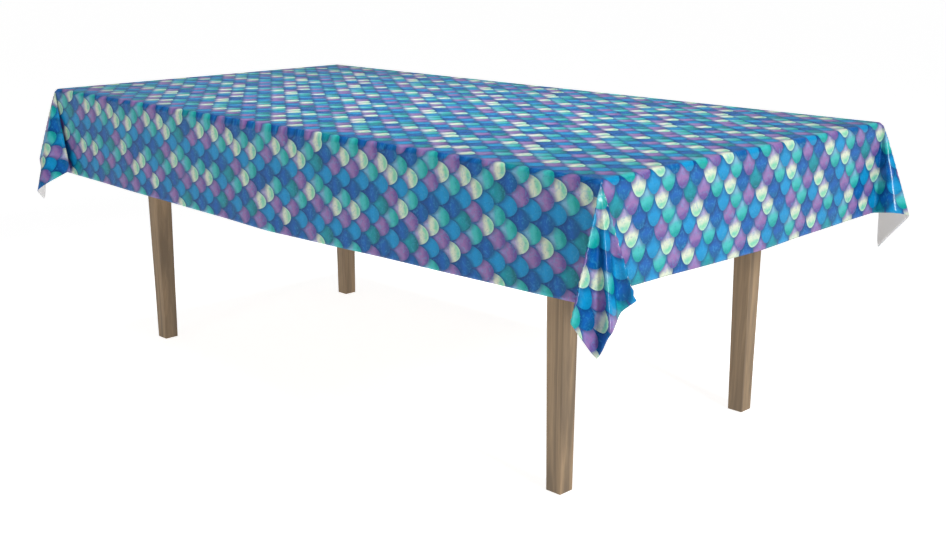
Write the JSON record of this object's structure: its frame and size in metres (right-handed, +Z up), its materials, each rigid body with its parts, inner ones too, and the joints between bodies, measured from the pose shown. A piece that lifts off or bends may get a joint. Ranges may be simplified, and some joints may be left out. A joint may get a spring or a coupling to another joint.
{
  "type": "table with tablecloth",
  "caption": "Rectangular dining table with tapered square legs, covered by a glossy plastic tablecloth printed with scales, which lifts off.",
  "frame": {"origin": "on the floor, under the middle of the table", "axes": "+Z up, +X along the table towards its right end, -Y towards the front long side"},
  "size_m": [2.2546, 1.3026, 0.7503],
  "materials": {
    "printed_film": "glossy thin film with a printed pattern of overlapping scales",
    "weathered_oak": "grey-brown oiled oak with upright grain",
    "plain_beech": "plain planed beech",
    "zinc_steel": "zinc-plated steel",
    "nylon_glide": "dark moulded nylon"
  },
  "bodies": {
    "table": {"apron_back": "weathered_oak", "apron_front": "weathered_oak", "apron_left": "weathered_oak", "apron_right": "weathered_oak", "bracket_back_left": "zinc_steel", "bracket_back_right": "zinc_steel", "bracket_front_left": "zinc_steel", "bracket_front_right": "zinc_steel", "corner_block_back_left": "plain_beech", "corner_block_back_right": "plain_beech", "corner_block_front_left": "plain_beech", "corner_block_front_right": "plain_beech", "cross_rail_left": "plain_beech", "cross_rail_right": "plain_beech", "glide_back_left": "nylon_glide", "glide_back_right": "nylon_glide", "glide_front_left": "nylon_glide", "glide_front_right": "nylon_glide", "hanger_bolt_back_left_lower": "zinc_steel", "hanger_bolt_back_left_upper": "zinc_steel", "hanger_bolt_back_right_lower": "zinc_steel", "hanger_bolt_back_right_upper": "zinc_steel", "hanger_bolt_front_left_lower": "zinc_steel", "hanger_bolt_front_left_upper": "zinc_steel", "hanger_bolt_front_right_lower": "zinc_steel", "hanger_bolt_front_right_upper": "zinc_steel", "leg_back_left": "weathered_oak", "leg_back_right": "weathered_oak", "leg_front_left": "weathered_oak", "leg_front_right": "weathered_oak", "nut_back_left_lower": "zinc_steel", "nut_back_left_upper": "zinc_steel", "nut_back_right_lower": "zinc_steel", "nut_back_right_upper": "zinc_steel", "nut_front_left_lower": "zinc_steel", "nut_front_left_upper": "zinc_steel", "nut_front_right_lower": "zinc_steel", "nut_front_right_upper": "zinc_steel", "screw_apron_back_left": "zinc_steel", "screw_apron_back_right": "zinc_steel", "screw_apron_front_left": "zinc_steel", "screw_apron_front_right": "zinc_steel", "screw_top_back_left": "zinc_steel", "screw_top_back_right": "zinc_steel", "screw_top_front_left": "zinc_steel", "screw_top_front_right": "zinc_steel", "tabletop": "weathered_oak", "washer_back_left_lower": "zinc_steel", "washer_back_left_upper": "zinc_steel", "washer_back_right_lower": "zinc_steel", "washer_back_right_upper": "zinc_steel", "washer_front_left_lower": "zinc_steel", "washer_front_left_upper": "zinc_steel", "washer_front_right_lower": "zinc_steel", "washer_front_right_upper": "zinc_steel"},
    "cloth": {"tablecloth": "printed_film"}
  },
  "joints": [
    {"name": "cloth_lift", "type": "slide", "parent": "table", "child": "cloth", "axis": [0, 0, 1], "range_m": [0, 0.36]}
  ]
}
